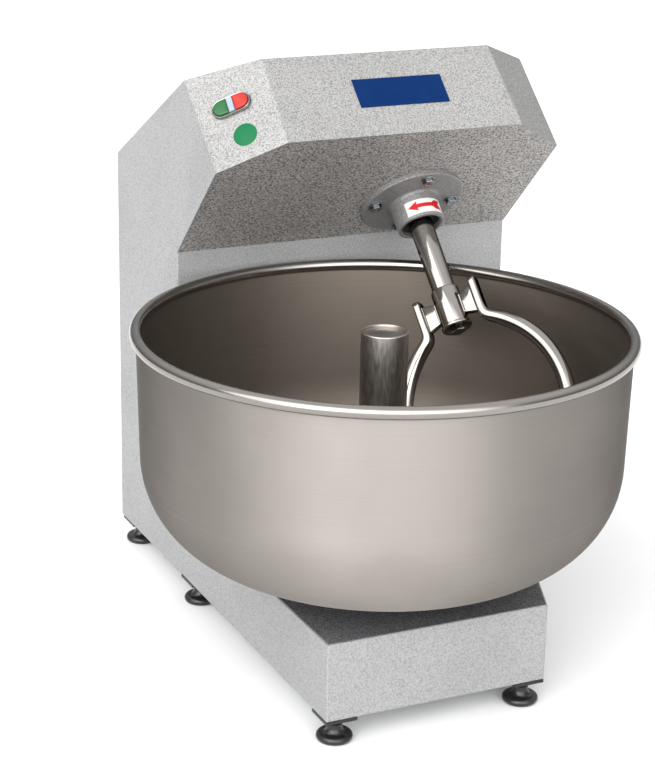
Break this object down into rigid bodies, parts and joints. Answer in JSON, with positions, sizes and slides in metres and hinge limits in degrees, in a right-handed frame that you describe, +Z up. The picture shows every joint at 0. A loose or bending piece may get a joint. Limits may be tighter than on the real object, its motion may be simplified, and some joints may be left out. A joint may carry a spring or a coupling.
{
  "type": "fork dough mixer",
  "caption": "Floor-standing bakery dough mixer: flared sheet-metal base and overhanging head, a turning stainless bowl with a centre post, and a lyre fork on a shaft tilted at 45 degrees.",
  "frame": {"origin": "centre of the machine's plan box, on the floor under the feet", "axes": "+Z up, +Y from the bowl towards the rear cover, +X to the machine's right seen from the front"},
  "size_m": [0.754, 1.013, 0.871],
  "materials": {
    "paint_grey": "fine hammered silver-grey paint",
    "paint_shaded": "coarse hammered darker grey paint",
    "paint_inner": "plain grey primer",
    "cast_grey": "silver-grey paint on a casting",
    "stainless": "satin stainless steel, spun",
    "polished_steel": "polished steel",
    "machined_steel": "machined steel",
    "cast_iron": "cast iron, painted or turned",
    "motor_alloy": "die-cast motor housing",
    "zinc_steel": "zinc-plated",
    "black_steel": "black oxide",
    "black_plastic": "moulded black plastic",
    "belt_rubber": "black rubber",
    "bezel_metal": "satin chrome",
    "lens_white": "milky lens",
    "button_green": "green button",
    "button_red": "red button",
    "plate_blue": "plain blue plate"
  },
  "bodies": {
    "frame": {"base_casing": "paint_grey", "column_casing": "paint_grey", "head_casing": "paint_grey", "rear_cover": "paint_grey", "base_top_plate": "paint_shaded", "head_underside_panel": "paint_shaded", "chassis_frame": "paint_inner", "bottom_tray": "paint_inner", "bowl_motor_shelf": "paint_inner", "fork_motor_bracket": "paint_inner", "jackshaft_plates": "paint_inner", "contactor_box": "paint_inner", "fork_flange": "cast_grey", "bowl_bearings": "machined_steel", "jackshaft_bearings": "machined_steel", "gearbox_bearings": "machined_steel", "bowl_bearing_housing": "cast_iron", "gearbox_housing": "cast_iron", "gearbox_cover": "cast_iron", "bowl_motor": "motor_alloy", "fork_motor": "motor_alloy", "rear_cover_screws": "zinc_steel", "bottom_tray_screws": "zinc_steel", "bowl_housing_bolts": "zinc_steel", "fork_flange_bolts": "zinc_steel", "gearbox_cover_bolts": "zinc_steel", "motor_bolts": "zinc_steel", "foot_plates": "black_steel", "foot_studs": "black_steel", "foot_pads": "black_plastic", "contact_block": "black_plastic", "contactor": "black_plastic", "cable_gland": "black_plastic", "bowl_drive_belts": "belt_rubber", "fork_drive_belts": "belt_rubber", "fork_shaft_seal": "belt_rubber", "control_bezel": "bezel_metal", "indicator_lens": "lens_white", "front_plate": "plate_blue"},
    "bowl": {"bowl": "stainless", "centre_post": "stainless", "bowl_hub": "machined_steel", "bowl_studs": "zinc_steel", "bowl_spindle": "machined_steel", "bowl_ring_gear": "machined_steel"},
    "jackshaft": {"pinion_jackshaft": "machined_steel", "jackshaft_pulley": "cast_iron"},
    "bowl_rotor": {"bowl_motor_rotor": "machined_steel", "bowl_motor_pulley": "cast_iron"},
    "fork": {"fork_shaft": "polished_steel", "fork_gear": "machined_steel", "fork_hub": "polished_steel", "fork_arms": "polished_steel", "fork_end_bolt": "polished_steel"},
    "input_shaft": {"input_pinion_shaft": "machined_steel", "input_pulley": "cast_iron"},
    "fork_rotor": {"fork_motor_rotor": "machined_steel", "fork_motor_pulley": "cast_iron"},
    "start_button": {"start_button": "button_green"},
    "stop_button": {"stop_button": "button_red"}
  },
  "joints": [
    {"name": "bowl_spin", "type": "hinge", "parent": "frame", "child": "bowl", "pos_m": [-0.018, -0.1475, 0.2], "axis": [0, 0, 1], "continuous": true},
    {"name": "jackshaft_spin", "type": "hinge", "parent": "frame", "child": "jackshaft", "pos_m": [-0.018, 0.02125, 0.083], "axis": [0, 0, 1], "continuous": true},
    {"name": "bowl_motor_spin", "type": "hinge", "parent": "frame", "child": "bowl_rotor", "pos_m": [-0.098, 0.3525, 0.2], "axis": [0, 0, 1], "continuous": true},
    {"name": "fork_spin", "type": "hinge", "parent": "frame", "child": "fork", "pos_m": [0.172, 0.1495, 0.634], "axis": [0, 0.7071, 0.7071], "continuous": true},
    {"name": "input_spin", "type": "hinge", "parent": "frame", "child": "input_shaft", "pos_m": [0.172, 0.23435, 0.54915], "axis": [0, 0.7071, 0.7071], "continuous": true},
    {"name": "fork_motor_spin", "type": "hinge", "parent": "frame", "child": "fork_rotor", "pos_m": [0.03, 0.31567, 0.46783], "axis": [0, 0.7071, 0.7071], "continuous": true},
    {"name": "start_press", "type": "slide", "parent": "frame", "child": "start_button", "axis": [0.5955, 0.5342, -0.6001], "range_m": [0, 0.003], "stiffness_N_per_m": 400, "springref_m": -0.0015},
    {"name": "stop_press", "type": "slide", "parent": "frame", "child": "stop_button", "axis": [0.5955, 0.5342, -0.6001], "range_m": [0, 0.003], "stiffness_N_per_m": 400, "springref_m": -0.0015}
  ],
  "couplings": [
    {"joint": "jackshaft_spin", "follows": "bowl_spin", "ratio": -8},
    {"joint": "bowl_motor_spin", "follows": "bowl_spin", "ratio": -32},
    {"joint": "input_spin", "follows": "fork_spin", "ratio": -4},
    {"joint": "fork_motor_spin", "follows": "fork_spin", "ratio": -12}
  ]
}
